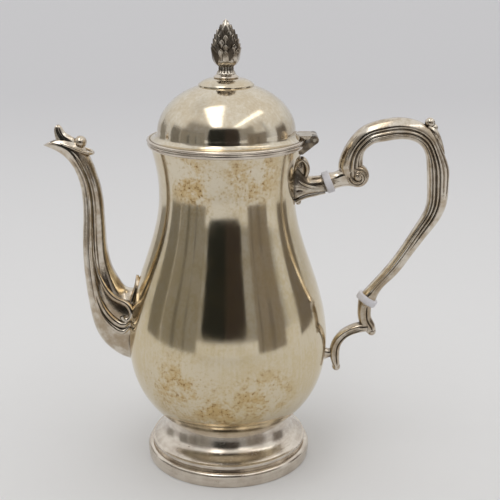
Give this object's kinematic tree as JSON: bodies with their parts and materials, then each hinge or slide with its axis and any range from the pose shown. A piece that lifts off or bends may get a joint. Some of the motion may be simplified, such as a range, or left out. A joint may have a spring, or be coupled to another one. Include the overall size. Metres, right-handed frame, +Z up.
{
  "type": "coffee pot",
  "caption": "Pear-shaped silver-plated coffee pot on a spreading foot, with hinged domed lid, bud finial, S-shaped spout and insulated scroll handle; pours hot drinks.",
  "frame": {"origin": "centre of the foot's underside, on the surface that the pot stands on", "axes": "+Z up along the vessel's axis, +X towards the handle, -X towards the spout"},
  "size_m": [0.2321, 0.1182, 0.2614],
  "materials": {
    "silver_plate": "polished silver plate with a warm, patchy tarnish",
    "cast_silver": "polished cast silver plate, dark in its recesses",
    "white_insulator": "matt white",
    "fastener_metal": "plain drawn metal"
  },
  "bodies": {
    "pot": {"body_shell": "silver_plate", "foot": "silver_plate", "foot_ring": "silver_plate", "mouth_wire": "silver_plate", "spout_near_half": "cast_silver", "spout_far_half": "cast_silver", "upper_handle_socket": "cast_silver", "lower_handle_socket": "cast_silver", "handle": "cast_silver", "hinge_bracket": "cast_silver", "upper_insulator": "white_insulator", "lower_insulator": "white_insulator", "hinge_pin": "fastener_metal", "upper_socket_pin": "fastener_metal", "upper_handle_pin": "fastener_metal", "lower_socket_pin": "fastener_metal", "lower_handle_pin": "fastener_metal"},
    "lid": {"lid_dome": "silver_plate", "lid_rim_wire": "silver_plate", "lid_bezel": "silver_plate", "hinge_leaf": "cast_silver", "finial": "cast_silver", "finial_collar": "silver_plate", "finial_stud": "fastener_metal", "finial_washer": "fastener_metal", "finial_nut": "fastener_metal"}
  },
  "joints": [
    {"name": "lid_hinge", "type": "hinge", "parent": "pot", "child": "lid", "pos_m": [0.0495, 0, 0.1954], "axis": [0, 1, 0], "range_deg": [0, 105]}
  ]
}
